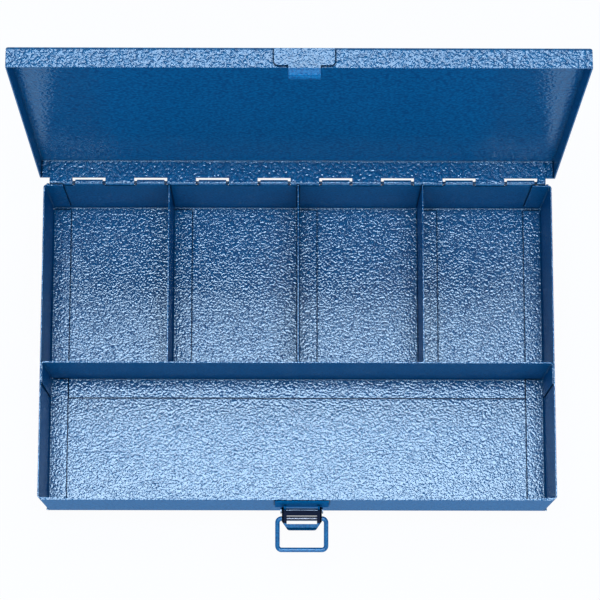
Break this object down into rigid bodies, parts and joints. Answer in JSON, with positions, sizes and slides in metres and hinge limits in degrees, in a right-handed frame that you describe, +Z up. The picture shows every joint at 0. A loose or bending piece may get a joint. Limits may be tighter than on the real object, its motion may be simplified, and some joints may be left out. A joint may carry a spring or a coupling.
{
  "type": "steel compartment box",
  "caption": "Shallow folded-steel box with partitioned compartments, a hinged lid standing open, and a wire-bail draw latch on its front.",
  "frame": {"origin": "middle of the base's underside", "axes": "+Z up out of the base, +X to the right along the hinge, +Y from the front to the back"},
  "size_m": [0.335, 0.268, 0.2791],
  "materials": {
    "box_enamel": "glossy hammertone enamel",
    "lid_enamel": "glossy hammertone enamel",
    "latch_enamel": "glossy enamel",
    "lever_steel": "bare, the lip painted",
    "wire_enamel": "drawn steel wire, painted with the hinge",
    "pin_steel": "riveted pin"
  },
  "bodies": {
    "base": {"base_shell": "box_enamel", "left_end_wall": "box_enamel", "right_end_wall": "box_enamel", "long_partition": "box_enamel", "left_divider": "box_enamel", "middle_divider": "box_enamel", "right_divider": "box_enamel", "hinge_wire": "wire_enamel", "latch_plate": "latch_enamel", "lever_pin": "pin_steel"},
    "lid": {"lid_shell": "lid_enamel", "lid_keeper": "lid_enamel"},
    "lever": {"latch_lever": "lever_steel"},
    "bail": {"latch_bail": "latch_enamel"}
  },
  "joints": [
    {"name": "lid_hinge", "type": "hinge", "parent": "base", "child": "lid", "pos_m": [0, 0.10405, 0.06415], "axis": [1, 0, 0], "range_deg": [0, 94]},
    {"name": "lever_pivot", "type": "hinge", "parent": "base", "child": "lever", "pos_m": [0.003, -0.10768, 0.04678], "axis": [1, 0, 0], "range_deg": [-30, 90]},
    {"name": "bail_pivot", "type": "hinge", "parent": "lever", "child": "bail", "pos_m": [0.003, -0.1128, 0.04588], "axis": [1, 0, 0], "range_deg": [-184, 62]}
  ],
  "couplings": [
    {"joint": "bail_pivot", "follows": "lever_pivot", "ratio": -2.0389}
  ]
}
